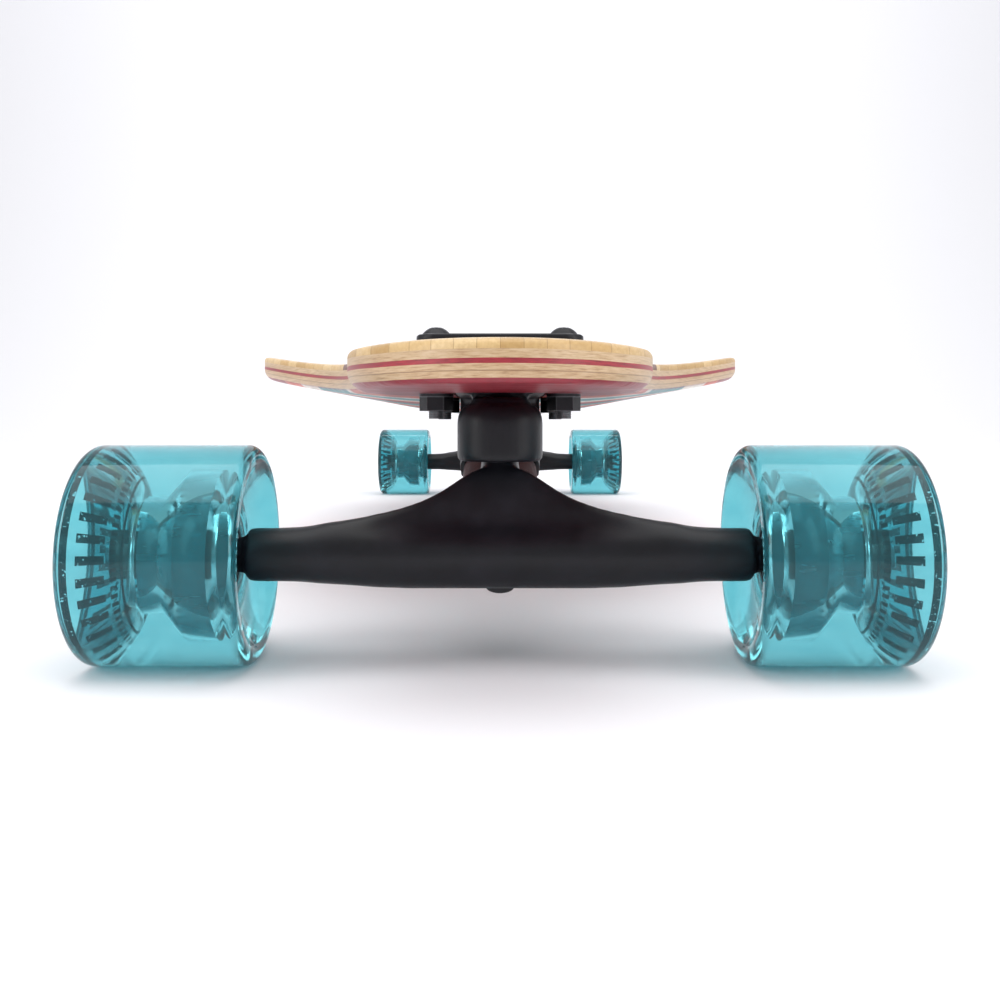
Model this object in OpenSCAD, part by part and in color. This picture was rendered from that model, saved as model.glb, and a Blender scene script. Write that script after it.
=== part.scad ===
// Drop-through longboard: a laminated deck, two cast trucks and four cast urethane wheels.
// Frame: origin on the floor under the middle of the board, +Y from the front end to the
// rear end, +Z up, and +X to the left of a rider who looks towards the front. Millimetres.

/* [Deck] */
// Distance between the two axles
wheelbase = 835; // [690:5:1000]
// Length of the whole deck
deck_length = 1016; // [980:1:1100]
// Full width of the standing platform
deck_width = 241.3; // [200:0.1:290]
// Full width of the narrow ends beside the wheels
neck_width = 92; // [80:1:108]
// Rise of the rails over the middle line
concave = 13.5; // [6:0.1:16]
// Width of the flat strip along the middle
flat_width = 60; // [56:1:90]
// Thickness of the bamboo top ply
bamboo_t = 2.8; // [1.5:0.1:4]
// Thickness of the upper maple ply
maple_upper_t = 2.2; // [1.2:0.1:4]
// Thickness of the red middle ply
red_middle_t = 1.3; // [0.8:0.1:3]
// Thickness of the maple core
maple_core_t = 3.4; // [2:0.1:5]
// Thickness of the red bottom ply
red_bottom_t = 1.3; // [0.8:0.1:3]

/* [Wheels] */
// Diameter of the tread
wheel_d = 70; // [58:1:84]
// Width of the wheel
wheel_w = 53; // [46:1:64]
// How far the inner bearing sits inside the inner lip
bearing_inset = 8; // [6:0.5:10]
// Outer diameter of the bearings
bearing_od = 22; // [20:0.5:24]
// Width of each bearing
bearing_w = 7; // [6:0.5:8.5]
// Distance that the spacer keeps between the bearings
spacer_l = 10; // [8:0.5:12]

/* [Trucks] */
// Height of the deck's top over the axle
mount_height = 62.5; // [62:0.1:66]
// Half of the hanger's width, without the end shoulders
hanger_half = 81; // [67:1:98]
// Diameter of the axle
axle_d = 8; // [6.5:0.1:9]
// Angle of the steering axis over the deck
steer_angle = 35; // [34:0.5:36.5]
// Distance from the pivot to the bushing ring along the deck
ring_reach = 42; // [40:0.5:44]
// Thickness of the baseplate on top of the deck
plate_t = 8; // [5:0.1:9]
// Spacing of the mounting bolts across the deck
bolt_spacing_x = 41.3; // [41.3:0.1:46]
// Spacing of the mounting bolts along the deck
bolt_spacing_y = 54; // [50:0.5:58]
// Diameter of the mounting bolts
bolt_d = 4.8; // [4:0.1:5.8]
// Diameter of the kingpin
kingpin_d = 9.5; // [8:0.1:10.5]
// Radius of both bushings where they meet the ring
bushing_r = 13.5; // [11:0.1:14.5]
// Length of the bushing on the deck's side
top_bushing_l = 14; // [12:0.5:16]
// Length of the bushing on the road's side
bottom_bushing_l = 10; // [8.5:0.5:12]

/* [Hidden] */
$fn = 64;

ends = ["front", "rear"];
sides = ["left", "right"];

press_gap = 0.02;        // radial room of a pressed or seated piece
running_gap = 0.08;      // radial room of the pivot in its cup
wheel_r = wheel_d / 2;
axle_r = axle_d / 2;

// ---- deck ----
deck_t = bamboo_t + maple_upper_t + red_middle_t + maple_core_t + red_bottom_t;
half_length = deck_length / 2;
nose_l = 80;             // length of each rounded end
shoulder_lead = 5.5;     // the neck starts to widen this far inboard of the axle
shoulder_l = 225;        // length of the curve from the neck to the full width
nose_steps = 14;
shoulder_steps = 12;
rail_steps = 8;
rail_power = 1.6;        // how sharply the rails turn up

function rail_rise(x) = concave * pow(max(0, abs(x) - flat_width / 2)
    / (deck_width / 2 - flat_width / 2), rail_power);

// A slow start and a quicker finish, level at both ends.
function shoulder_blend(t) = t - (0.3 + 0.7 * t) * sin(360 * t) / (2 * PI);

// One quarter of the outline, from the tip to where the platform reaches its full width.
function quarter_outline() = let (shoulder_s = wheelbase / 2 - shoulder_lead) concat(
    [for (i = [0:nose_steps]) let (a = 90 * i / nose_steps)
        [neck_width / 2 * sin(a), half_length - nose_l + nose_l * cos(a)]],
    [for (i = [0:shoulder_steps]) let (t = i / shoulder_steps)
        [neck_width / 2 + (deck_width - neck_width) / 2 * shoulder_blend(t),
            shoulder_s - shoulder_l * t]]);
function reversed(v) = [for (i = [len(v) - 1:-1:0]) v[i]];
function flipped(v, fx, fy) = [for (p = v) [fx * p[0], fy * p[1]]];

module deck_outline() {
    corner = quarter_outline();
    polygon(concat(corner, flipped(reversed(corner), 1, -1),
        flipped(corner, -1, -1), flipped(reversed(corner), -1, 1)));
}

// A truck's own frame: origin in the axle's middle, +Y inboard, +Z up to the deck.
module truck(end) {
    turn = (end == "front") ? 0 : 180;
    rotate([0, 0, turn]) translate([0, -wheelbase / 2, wheel_r]) children();
}

bolt_first = 5;          // from the axle to the nearer pair of bolts
slot_half = 15.5;        // half width of the opening that the truck drops through
slot_first = -5.5;
slot_last = 89;
slot_corner = 4;
bolt_hole_gap = 0.3;
bolt_r = bolt_d / 2;
deck_low = mount_height - deck_t;

module rounded_slab(half, first, last, corner, low, high) {
    translate([0, 0, low]) linear_extrude(high - low) union() {
        translate([-half, first + corner]) square([2 * half, last - first - 2 * corner]);
        translate([corner - half, first]) square([2 * (half - corner), last - first]);
        for (x = [corner - half, half - corner], y = [first + corner, last - corner])
            translate([x, y]) circle(corner);
    }
}

module each_bolt() {
    for (x = [-bolt_spacing_x / 2, bolt_spacing_x / 2], y = [bolt_first, bolt_first + bolt_spacing_y])
        translate([x, y, 0]) children();
}

module truck_opening() {
    margin = 5;
    rounded_slab(slot_half, slot_first, slot_last, slot_corner, deck_low - margin,
        mount_height + margin);
    each_bolt() translate([0, 0, deck_low - margin])
        cylinder(r = bolt_r + bolt_hole_gap, h = deck_t + 2 * margin, $fn = 32);
}

// One ply, with its top this far under the deck's top.
module ply(depth, thick) {
    edge = deck_width / 2 + 8;
    top = wheel_r + mount_height - depth;
    rails = [for (i = [0:rail_steps]) flat_width / 2 + (edge - flat_width / 2) * i / rail_steps];
    across = concat([for (x = reversed(rails)) -x], rails);
    upper = [for (x = across) [x, top + rail_rise(x)]];
    lower = [for (x = reversed(across)) [x, top - thick + rail_rise(x)]];
    difference() {
        intersection() {
            translate([0, half_length + 1, 0]) rotate([90, 0, 0])
                linear_extrude(deck_length + 2) polygon(concat(upper, lower));
            translate([0, 0, top - thick - 5]) linear_extrude(thick + 2 * concave + 20) deck_outline();
        }
        for (end = ends) truck(end) truck_opening();
    }
}

module deck_bamboo_ply() {
    color("burlywood") ply(0, bamboo_t);
}

module deck_maple_upper_ply() {
    color("wheat") ply(bamboo_t, maple_upper_t);
}

module deck_red_middle_ply() {
    color("firebrick") ply(bamboo_t + maple_upper_t, red_middle_t);
}

module deck_maple_core_ply() {
    color("wheat") ply(bamboo_t + maple_upper_t + red_middle_t, maple_core_t);
}

module deck_red_bottom_ply() {
    color("darkred") ply(deck_t - red_bottom_t, red_bottom_t);
}

// ---- the truck's two axes ----
pivot_y = -4;
pivot_z = 40.4;
ring_y = pivot_y + ring_reach;
ring_z = pivot_z - ring_reach * tan(steer_angle);
axis_l = ring_reach / cos(steer_angle);  // from the pivot to the ring's centre

// Origin in the ring's centre, +Z along the kingpin towards the deck.
module at_ring() {
    translate([0, ring_y, ring_z]) rotate([-steer_angle, 0, 0]) children();
}

// Origin in the pivot, +Z outboard and up along the steering axis.
module at_pivot() {
    translate([0, pivot_y, pivot_z]) rotate([90 - steer_angle, 0, 0]) children();
}

module tube(outer, inner, low, high) {
    difference() {
        translate([0, 0, low]) cylinder(r = outer, h = high - low);
        translate([0, 0, low - 1]) cylinder(r = inner, h = high - low + 2);
    }
}

module hexagon(corner_r, low, high) {
    translate([0, 0, low]) cylinder(r = corner_r, h = high - low, $fn = 6);
}

module hex_nut(corner_r, bore_r, low, high) {
    difference() {
        hexagon(corner_r, low, high);
        translate([0, 0, low - 1]) cylinder(r = bore_r, h = high - low + 2);
    }
}

// ---- baseplate and its fasteners ----
plate_half = bolt_spacing_x / 2 + 6.35;
plate_first = bolt_first - 9;
plate_last = 94;
plate_corner = 7;
slot_gap = 0.6;          // room of the baseplate's block in the deck's opening
bell_r = 13.5;
bell_low = pivot_z - 10.4;
bell_top = pivot_z + 9.6;
neck_r = 10;
neck_y = 3;
pivot_pin_r = 4.8;
cup_r = 7.2;
cup_low = -7;            // along the steering axis, from the pivot
cup_high = 6.5;
mouth_r = 9;             // opening under the cup that the hanger's nose comes through
ring_half_t = 4;
washer_t = 2;            // cup washers
seat = ring_half_t + top_bushing_l + washer_t;
kingpin_r = kingpin_d / 2;
grip = 22;               // kingpin held in the baseplate
head_r = 7.6;
head_t = 6;
boss_r = 17.5;

module bell() {
    crown_r = 9.5;
    shoulder = 4.5;
    chamfer = 0.8;
    translate([0, pivot_y, 0]) rotate_extrude() polygon(concat(
        [[0, bell_low], [bell_r - chamfer, bell_low], [bell_r, bell_low + chamfer]],
        [for (a = [0:18:90]) [crown_r + (bell_r - crown_r) * cos(a),
            bell_top - shoulder + shoulder * sin(a)]],
        [[0, bell_top]]));
}

module baseplate() {
    block_half = slot_half - slot_gap;
    web_half = 9;
    web_low = deck_low - 4.5;
    boss_flat = bolt_spacing_x / 2 - bolt_nut_r - 0.6;
    under_gap = 0.2;         // room between the deck's underside and the casting
    color("dimgray") difference() {
        union() {
            rounded_slab(plate_half, plate_first, plate_last, plate_corner, mount_height,
                mount_height + plate_t);
            rounded_slab(block_half, slot_first + slot_gap, slot_last - slot_gap, slot_corner,
                deck_low - under_gap - 0.1, mount_height + 1);
            rounded_slab(web_half, neck_y, ring_y + seat, slot_corner, web_low, mount_height + 1);
            bell();
            translate([0, neck_y, bell_top - 5])
                cylinder(r = neck_r, h = deck_low - under_gap - bell_top + 5);
            intersection() {
                at_ring() translate([0, 0, seat]) cylinder(r = boss_r, h = 60);
                translate([-boss_flat, 0, -50])
                    cube([2 * boss_flat, slot_last - slot_gap, 50 + deck_low - under_gap]);
            }
        }
        at_pivot() translate([0, 0, cup_low - 1]) cylinder(r = cup_r, h = cup_high - cup_low + 1);
        at_pivot() translate([0, 0, cup_low - 40]) cylinder(r = mouth_r, h = 40);
        at_ring() translate([0, 0, seat - 1]) cylinder(r = kingpin_r + press_gap, h = grip + 2);
        at_ring() translate([0, 0, seat + grip]) cylinder(r = head_r + 0.6, h = 60);
        each_bolt() translate([0, 0, mount_height - 1])
            cylinder(r = bolt_r + bolt_hole_gap, h = plate_t + 2, $fn = 32);
    }
}

bolt_washer_r = 5.6;
bolt_washer_t = 1;
bolt_nut_r = 5.48;
bolt_nut_t = 4.6;
bolt_tail = 2.5;
nut_top = deck_low - bolt_washer_t;

module mount_bolts() {
    head_radius = 4.75;
    head_height = 2.7;
    dome_r = (pow(head_radius, 2) + pow(head_height, 2)) / (2 * head_height);
    socket_r = 1.85;
    top = mount_height + plate_t;
    low = nut_top - bolt_nut_t - bolt_tail;
    color("black") each_bolt() difference() {
        union() {
            translate([0, 0, low]) cylinder(r = bolt_r, h = top - low + 0.5, $fn = 32);
            intersection() {
                translate([0, 0, top]) cylinder(r = head_radius + 1, h = head_height + 1);
                translate([0, 0, top + head_height - dome_r]) sphere(dome_r);
            }
        }
        hexagon(socket_r, top + 0.9, top + head_height + 1);
    }
}

module mount_washers() {
    color("black") each_bolt() tube(bolt_washer_r, bolt_r + bolt_hole_gap, nut_top, deck_low);
}

module mount_nuts() {
    color("black") each_bolt() hex_nut(bolt_nut_r, bolt_r + press_gap, nut_top - bolt_nut_t, nut_top);
}

module pivot_cup() {
    color("black") at_pivot() difference() {
        translate([0, 0, cup_low]) cylinder(r = cup_r - press_gap, h = cup_high - cup_low);
        translate([0, 0, cup_low - 1]) cylinder(r = pivot_pin_r + running_gap, h = 1 - cup_low);
        sphere(pivot_pin_r + running_gap);
    }
}

// ---- kingpin and bushings, all on the ring's axis ----
bottom_bushing_low = -ring_half_t - bottom_bushing_l;
bottom_washer_low = bottom_bushing_low - washer_t;
kingpin_nut_t = 7;
kingpin_tail = 7;        // thread left below the nut
kingpin_low = bottom_washer_low - kingpin_nut_t - kingpin_tail;
bottom_washer_r = 12;

module kingpin() {
    color("gray") at_ring() {
        translate([0, 0, kingpin_low]) cylinder(r = kingpin_r, h = seat + grip - kingpin_low + 1);
        hexagon(head_r, seat + grip, seat + grip + head_t);
    }
}

module kingpin_nut() {
    color("gray") at_ring()
        hex_nut(8.25, kingpin_r + press_gap, bottom_washer_low - kingpin_nut_t, bottom_washer_low);
}

module top_cup_washer() {
    color("gray") at_ring() tube(bushing_r + 1, kingpin_r + press_gap, seat - washer_t, seat);
}

module top_bushing() {
    color("firebrick") at_ring() tube(bushing_r, kingpin_r + press_gap, ring_half_t, seat - washer_t);
}

module bottom_bushing() {
    tip_r = bottom_washer_r - 1.5;
    color("firebrick") at_ring() difference() {
        translate([0, 0, bottom_bushing_low])
            cylinder(r1 = tip_r, r2 = bushing_r - 0.5, h = bottom_bushing_l);
        translate([0, 0, bottom_bushing_low - 1])
            cylinder(r = kingpin_r + press_gap, h = bottom_bushing_l + 2);
    }
}

module bottom_cup_washer() {
    color("gray") at_ring()
        tube(bottom_washer_r, kingpin_r + press_gap, bottom_washer_low, bottom_bushing_low);
}

// ---- hanger and axle ----
ring_r = bushing_r + 3.5;
ring_bore_r = kingpin_r + 2.25;
bar_mid_r = 10.9;
bar_end_r = 8.2;
bar_flat = 30;           // half length of the bar's even middle
bar_steps = 8;
bar_chamfer = 1.2;
shoulder_out = 3;        // small end that meets the axle washer
shoulder_r = axle_r + 1.7;
hanger_end = hanger_half + shoulder_out;
spine_r = 6.5;
spine_first = -12;       // along the steering axis, from the pivot
web_t = 16;
web_half_l = 62;
web_rise = 20;
web_fade = 18;
web_cap = bell_low - 4.5;
web_low_x = 7;
web_step = 5;
web_lean = 17.9;         // the web leans inboard towards the ring

function bar_r(x) = bar_mid_r - (bar_mid_r - bar_end_r)
    * pow(max(0, abs(x) - bar_flat) / (hanger_half - bar_flat), 1.6);
function web_top(x) = min(web_cap, bar_end_r + web_rise * exp((web_low_x - x) / web_fade));

module hanger_bar() {
    inner = hanger_half - bar_chamfer;
    rotate([0, 90, 0]) rotate_extrude() polygon(concat(
        [[0, -hanger_end], [shoulder_r, -hanger_end], [shoulder_r, -hanger_half]],
        [for (i = [-bar_steps:bar_steps]) [bar_r(inner * i / bar_steps), inner * i / bar_steps]],
        [[shoulder_r, hanger_half], [shoulder_r, hanger_end], [0, hanger_end]]));
}

module hanger_web() {
    right = [for (x = [web_low_x + 1:web_step:web_half_l]) [x, web_top(x) / cos(web_lean)]];
    left = [for (p = reversed(right)) [-p[0], p[1]]];
    rotate([-web_lean, 0, 0]) translate([0, web_t / 2, 0]) rotate([90, 0, 0]) linear_extrude(web_t)
        polygon(concat(left, right, [[web_half_l, 0], [-web_half_l, 0]]));
}

module hanger() {
    lug_x = ring_r + 0.5;
    lug_r = 4;
    foot_x = 30;
    color("dimgray") difference() {
        union() {
            hanger_bar();
            hanger_web();
            at_pivot() {
                translate([0, 0, spine_first]) cylinder(r = pivot_pin_r, h = -spine_first);
                sphere(pivot_pin_r);
                translate([0, 0, ring_r - axis_l - 1])
                    cylinder(r = spine_r, h = spine_first - ring_r + axis_l + 1);
            }
            for (side = [-1, 1]) hull() {
                at_ring() translate([side * lug_x, 0, -ring_half_t + 0.5])
                    cylinder(r = lug_r, h = 2 * ring_half_t - 1, $fn = 32);
                translate([side * foot_x, 1, 4]) sphere(5.5, $fn = 24);
            }
            at_ring() translate([0, 0, -ring_half_t]) cylinder(r = ring_r, h = 2 * ring_half_t);
        }
        at_ring() translate([0, 0, -ring_half_t - 1]) cylinder(r = ring_bore_r, h = 2 * ring_half_t + 2);
        translate([-hanger_end - 1, 0, 0]) rotate([0, 90, 0])
            cylinder(r = axle_r + press_gap, h = 2 * hanger_end + 2);
    }
}

// ---- what is on the axle, outboard from the hanger's shoulder ----
axle_washer_t = 1;
inner_bearing = hanger_end + axle_washer_t;
outer_bearing = inner_bearing + bearing_w + spacer_l;
outer_washer = outer_bearing + bearing_w;
nut_start = outer_washer + axle_washer_t;
axle_nut_t = 7.5;
axle_end = nut_start + axle_nut_t + 1.5;
inner_ring_r = axle_r + 1.6;
bearing_r = bearing_od / 2;

module axle() {
    color("silver") translate([-axle_end, 0, 0]) rotate([0, 90, 0]) cylinder(r = axle_r, h = 2 * axle_end);
}

module axle_washers() {
    color("silver") for (turn = [-90, 90]) rotate([0, turn, 0]) {
        tube(inner_ring_r - 0.2, axle_r + press_gap, hanger_end, inner_bearing);
        tube(inner_ring_r - 0.2, axle_r + press_gap, outer_washer, nut_start);
    }
}

// A wheel's own frame: origin in the axle's middle, +Z outboard along the axle.
module wheel(end, side) {
    turn = ((side == "left") == (end == "front")) ? 90 : -90;
    truck(end) rotate([0, turn, 0]) children();
}

module bearing_inner_rings() {
    color("silver") for (low = [inner_bearing, outer_bearing])
        tube(inner_ring_r, axle_r + press_gap, low, low + bearing_w);
}

module bearing_spacer() {
    color("silver") tube(inner_ring_r - 0.1, axle_r + press_gap, inner_bearing + bearing_w, outer_bearing);
}

module axle_nut() {
    color("silver") hex_nut(7.5, axle_r + press_gap, nut_start, nut_start + axle_nut_t);
}

module bearing_shells() {
    color("black") for (low = [inner_bearing, outer_bearing])
        tube(bearing_r, inner_ring_r + 0.3, low, low + bearing_w);
}

// ---- wheel: clear core and urethane tyre ----
core_first = inner_bearing - 1;
core_last = outer_washer + 1.5;
core_r = bearing_r + 2.6;
flange_r = core_r + 6.4;
flange_half = 5;
flange_slope = 2;
core_mid = (inner_bearing + outer_washer) / 2 - 4;

module core_outside() {
    rotate_extrude() polygon([[0, core_first], [core_r, core_first],
        [core_r, core_mid - flange_half - flange_slope], [flange_r, core_mid - flange_half],
        [flange_r, core_mid + flange_half], [core_r, core_mid + flange_half + 3 * flange_slope],
        [core_r, core_last], [0, core_last]]);
}

module wheel_core() {
    bore_r = bearing_r - 2;
    color("paleturquoise") difference() {
        core_outside();
        translate([0, 0, core_first - 1]) cylinder(r = bore_r, h = core_last - core_first + 2);
        translate([0, 0, core_first - 1])
            cylinder(r = bearing_r + press_gap, h = bearing_w + inner_bearing - core_first + 1);
        translate([0, 0, outer_bearing])
            cylinder(r = bearing_r + press_gap, h = core_last - outer_bearing + 1);
    }
}

module tyre() {
    first = inner_bearing - bearing_inset;
    last = first + wheel_w;
    inner_lip = 3.5;
    outer_lip = 4;
    face = 2;                // flat ring beside each lip
    inner_face_r = wheel_r - inner_lip - face;
    outer_face_r = wheel_r - outer_lip - face;
    dish_steps = 4;
    color("mediumturquoise") difference() {
        rotate_extrude() polygon(concat(
            [[core_r - 1, core_first], [core_r, core_first]],
            [for (i = [1:dish_steps]) let (t = i / dish_steps)
                [core_r + (inner_face_r - core_r) * t, core_first + (first - core_first) * pow(t, 2)]],
            [for (a = [0:15:90]) [wheel_r - inner_lip + inner_lip * sin(a),
                first + inner_lip - inner_lip * cos(a)]],
            [for (a = [90:-15:0]) [wheel_r - outer_lip + outer_lip * sin(a),
                last - outer_lip + outer_lip * cos(a)]],
            [for (i = [dish_steps:-1:1]) let (t = i / dish_steps)
                [core_r + (outer_face_r - core_r) * t, core_last + (last - core_last) * pow(t, 1.6)]],
            [[core_r, core_last], [core_r - 1, core_last]]));
        core_outside();
    }
}

deck_bamboo_ply();
deck_maple_upper_ply();
deck_red_middle_ply();
deck_maple_core_ply();
deck_red_bottom_ply();
for (end = ends) {
    truck(end) baseplate();
    truck(end) mount_bolts();
    truck(end) mount_washers();
    truck(end) mount_nuts();
    truck(end) kingpin();
    truck(end) kingpin_nut();
    truck(end) pivot_cup();
    truck(end) top_bushing();
    truck(end) top_cup_washer();
    truck(end) bottom_bushing();
    truck(end) bottom_cup_washer();
    truck(end) hanger();
    truck(end) axle();
    truck(end) axle_washers();
}
for (end = ends, side = sides) {
    name = str(end, "_", side);
    wheel(end, side) tyre();
    wheel(end, side) wheel_core();
    wheel(end, side) bearing_shells();
    wheel(end, side) bearing_inner_rings();
    wheel(end, side) bearing_spacer();
    wheel(end, side) axle_nut();
}
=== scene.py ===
# Looks of a drop-through longboard. Metres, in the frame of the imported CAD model.
import math

import bmesh
import bpy
from mathutils import Matrix, Vector


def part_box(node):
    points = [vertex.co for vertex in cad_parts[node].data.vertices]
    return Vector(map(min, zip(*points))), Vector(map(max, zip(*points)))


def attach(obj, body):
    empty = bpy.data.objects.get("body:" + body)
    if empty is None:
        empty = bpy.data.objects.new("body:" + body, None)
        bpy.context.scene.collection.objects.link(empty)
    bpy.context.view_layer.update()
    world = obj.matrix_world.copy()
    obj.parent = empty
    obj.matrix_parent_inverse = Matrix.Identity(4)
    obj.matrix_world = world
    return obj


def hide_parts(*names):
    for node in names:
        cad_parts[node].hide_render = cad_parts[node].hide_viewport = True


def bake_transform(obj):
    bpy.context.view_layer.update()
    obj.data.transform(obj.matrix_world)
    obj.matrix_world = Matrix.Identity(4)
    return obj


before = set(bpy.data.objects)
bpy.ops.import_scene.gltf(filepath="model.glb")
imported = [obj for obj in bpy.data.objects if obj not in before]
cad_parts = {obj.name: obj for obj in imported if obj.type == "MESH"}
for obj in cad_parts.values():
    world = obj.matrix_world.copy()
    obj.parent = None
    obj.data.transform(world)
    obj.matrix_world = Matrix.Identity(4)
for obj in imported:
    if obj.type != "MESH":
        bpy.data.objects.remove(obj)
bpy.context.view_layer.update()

MM = 0.001
ENDS = {"front": 1, "rear": -1}      # the rear truck is the front one turned half round
SIDES = {"left": 1, "right": -1}

# ---- sizes taken from the frame ----
deck_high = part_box("deck_bamboo_ply")[1]
axle_low, axle_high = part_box("front_axle")
tyre_low, tyre_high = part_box("front_left_tyre")
core_low, core_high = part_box("front_left_wheel_core")
half_length = deck_high.y
half_width = deck_high.x
axle_y = (axle_low.y + axle_high.y) / 2
wheelbase = -2 * axle_y
wheel_r = (tyre_high.z - tyre_low.z) / 2

# ---- sizes that the frame's boxes don't show, as in the CAD model ----
PLATE_T = 8 * MM
deck_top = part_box("front_baseplate")[1].z - PLATE_T

DECK_T = 11 * MM
FLAT_HALF = 30 * MM        # the deck's cross curve
RAIL_POWER = 1.6
CONCAVE = 13.5 * MM
NECK_HALF = 46 * MM        # its outline
NOSE_L = 80 * MM
SHOULDER_LEAD = 5.5 * MM
SHOULDER_L = 225 * MM

# A truck's places are counted from its axle's middle, with Y towards the middle of the board.
SLOT_HALF = 15.5 * MM
SLOT_ENDS = (-5.5 * MM, 89 * MM)
SLOT_CORNER = 4 * MM
BOLT_X = 20.65 * MM
BOLT_YS = (5 * MM, 59 * MM)
BOLT_HOLE_R = 2.7 * MM
PIVOT_Y, PIVOT_Z = -4 * MM, 40.4 * MM
RING_Y = 38 * MM
STEER = math.radians(35)

# A wheel's places are counted outboard from the middle of the board.
CORE_R = 13.6 * MM
FLANGE_R = 20 * MM
CORE_MID = 93 * MM
CORE_END_GAP = 0.6 * MM    # the core's ends lie this far inside the tyre's
BORE_R = 11.02 * MM
BEARING_R = 11 * MM
BEARING_W = 7 * MM
BEARING_LOWS = (85 * MM, 102 * MM)


# ---- materials ----
def srgb(text):
    """A hex colour as the linear values that shaders take."""
    def linear(c):
        return c / 12.92 if c <= 0.04045 else ((c + 0.055) / 1.055) ** 2.4
    return tuple(linear(int(text[i:i + 2], 16) / 255) for i in (1, 3, 5)) + (1.0,)


class Shader:
    """A material's node tree, with one call per node."""

    def __init__(self, name):
        self.material = bpy.data.materials.new(name)
        self.material.use_nodes = True
        self.tree = self.material.node_tree
        self.bsdf = self.tree.nodes["Principled BSDF"]

    def add(self, kind, settings=None, **inputs):
        """Adds a node. settings are its properties, and inputs its sockets: values or links."""
        node = self.tree.nodes.new(kind)
        for key, value in (settings or {}).items():
            setattr(node, key, value)
        for key, value in inputs.items():
            self.set(node.inputs[int(key[1:]) if key[1:].isdigit() else key.replace("_", " ")], value)
        return node

    def set(self, socket, value):
        """Links an output to the socket, or sets the socket's own value."""
        if isinstance(value, bpy.types.NodeSocket):
            self.tree.links.new(value, socket)
        else:
            socket.default_value = value

    def surface(self, **inputs):
        """Sets the sockets of the material's own shader."""
        for key, value in inputs.items():
            self.set(self.bsdf.inputs[key.replace("_", " ")], value)

    def place(self):
        """The object coordinates of the point, which are metres in the board's frame."""
        return self.add("ShaderNodeTexCoord").outputs["Object"]

    def xyz(self):
        """The object coordinates as three outputs."""
        return self.add("ShaderNodeSeparateXYZ", i0=self.place()).outputs

    def facing_up(self):
        """The normal's height: 1 on a top face, -1 on an underside."""
        normal = self.add("ShaderNodeNewGeometry").outputs["Normal"]
        return self.add("ShaderNodeSeparateXYZ", i0=normal).outputs[2]

    def stretched(self, scale):
        """Object coordinates scaled along each axis."""
        return self.add("ShaderNodeMapping", Vector=self.place(), Scale=scale).outputs[0]

    def noise(self, vector, scale, detail=4.0, roughness=0.55):
        return self.add("ShaderNodeTexNoise", Vector=vector, Scale=scale, Detail=detail,
                        Roughness=roughness).outputs[0]

    def math(self, operation, a, b=0.0):
        return self.add("ShaderNodeMath", {"operation": operation}, i0=a, i1=b).outputs[0]

    def span(self, value, low, high, to_low=0.0, to_high=1.0):
        """The value remapped from one range to another, clamped."""
        return self.add("ShaderNodeMapRange", Value=value, i1=low, i2=high, i3=to_low,
                        i4=to_high).outputs[0]

    def ramp(self, value, stops, interpolation="LINEAR"):
        """A colour ramp of (position, hex) stops."""
        node = self.add("ShaderNodeValToRGB", Fac=value)
        elements = node.color_ramp.elements
        node.color_ramp.interpolation = interpolation
        while len(elements) < len(stops):
            elements.new(0.5)
        for element, (position, colour) in zip(elements, stops):
            element.position = position
            element.color = srgb(colour)
        return node.outputs[0]

    def mix(self, factor, a, b, blend="MIX"):
        node = self.add("ShaderNodeMix", {"data_type": "RGBA", "blend_type": blend})
        for index, value in ((0, factor), (6, a), (7, b)):
            self.set(node.inputs[index], value)
        return node.outputs[2]

    def bump(self, height, depth, strength=1.0, under=None):
        """Raises the surface by height (0 to 1) times depth in metres."""
        node = self.add("ShaderNodeBump", Height=height, Distance=depth, Strength=strength)
        if under is not None:
            self.set(node.inputs["Normal"], under)
        return node.outputs[0]

    def edges(self, radius):
        """1 near worn convex edges and 0 elsewhere."""
        ao = self.add("ShaderNodeAmbientOcclusion", {"inside": True, "samples": 4}, Distance=radius)
        return self.span(ao.outputs["AO"], 0.62, 0.82, 1.0, 0.0)


STRIP_W = 5.6 * MM
STRIP_L = 310 * MM
STRINGER_X = 57 * MM
STRINGER_HALF = 2.3 * MM


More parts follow.
